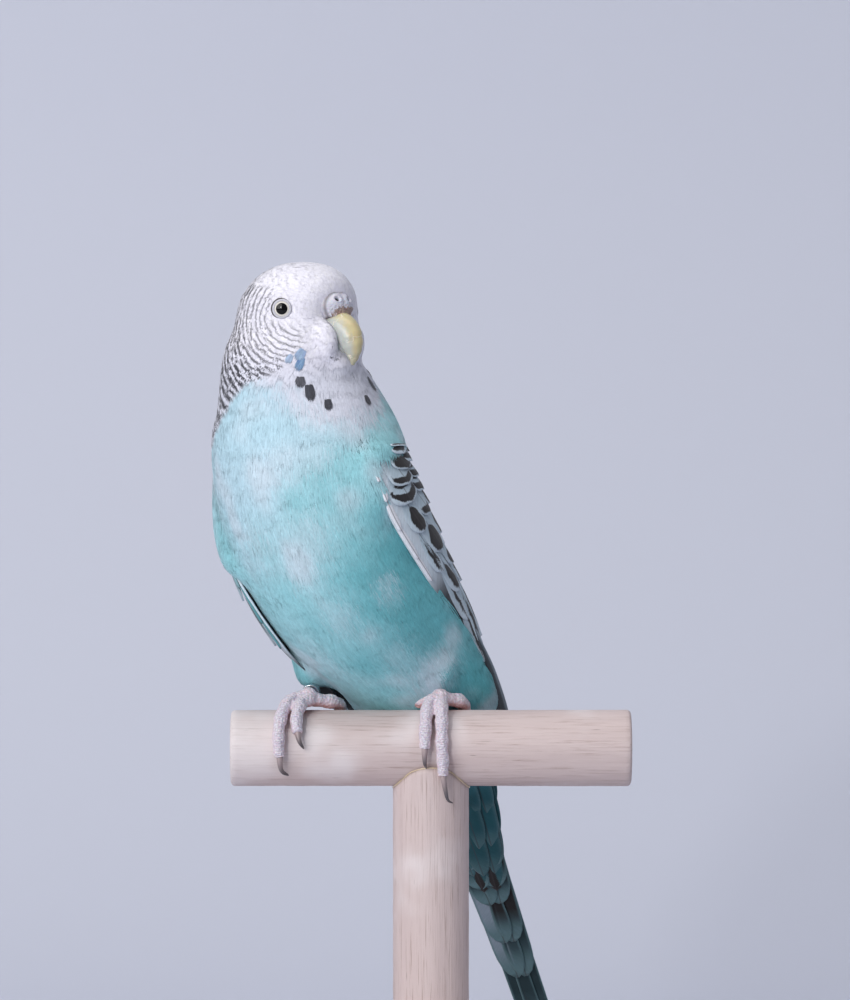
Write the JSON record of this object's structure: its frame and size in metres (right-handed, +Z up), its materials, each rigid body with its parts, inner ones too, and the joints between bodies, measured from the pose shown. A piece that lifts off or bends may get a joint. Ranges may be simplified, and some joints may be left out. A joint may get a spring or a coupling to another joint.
{
  "type": "budgerigar",
  "caption": "Life-size still model of a pale blue budgerigar perched on a wooden T-perch with a round base.",
  "frame": {"origin": "centre of the underside of the round base, below the post", "axes": "+Z up along the post, +X to the right seen from the front, +Y to the back; the bird's chest faces -Y"},
  "size_m": [0.114, 0.114, 0.2123],
  "materials": {
    "plumage": "soft pale blue and turquoise body feathers",
    "face_plumage": "white face feathers, fine dark bars behind the eye and on the nape",
    "wing_plumage": "greyish white wing feathers with black scallops and grey flight feathers",
    "tail_plumage": "dark blue-green tail feathers with pale edges",
    "cere": "waxy pale lilac cere with a brown crust below",
    "bill": "horn, olive-grey to yellow ochre, low sheen",
    "eye": "wet black eye with a pale iris ring",
    "foot_skin": "scaly pinkish grey skin",
    "claw": "grey horn",
    "ring": "smooth closed ring, slightly worn",
    "wood": "pale sanded beech, unvarnished"
  },
  "bodies": {
    "root": {"torso": "plumage", "neck": "plumage", "head": "face_plumage", "cere": "cere", "bill_upper": "bill", "bill_lower": "bill", "eye_left": "eye", "wing_left": "wing_plumage", "leg_left": "plumage", "foot_left": "foot_skin", "claw_left_1": "claw", "claw_left_2": "claw", "claw_left_3": "claw", "claw_left_4": "claw", "eye_right": "eye", "wing_right": "wing_plumage", "leg_right": "plumage", "foot_right": "foot_skin", "claw_right_1": "claw", "claw_right_2": "claw", "claw_right_3": "claw", "claw_right_4": "claw", "leg_ring": "ring", "tail": "tail_plumage", "perch_bar": "wood", "stand_post": "wood", "stand_base": "wood"}
  },
  "joints": []
}
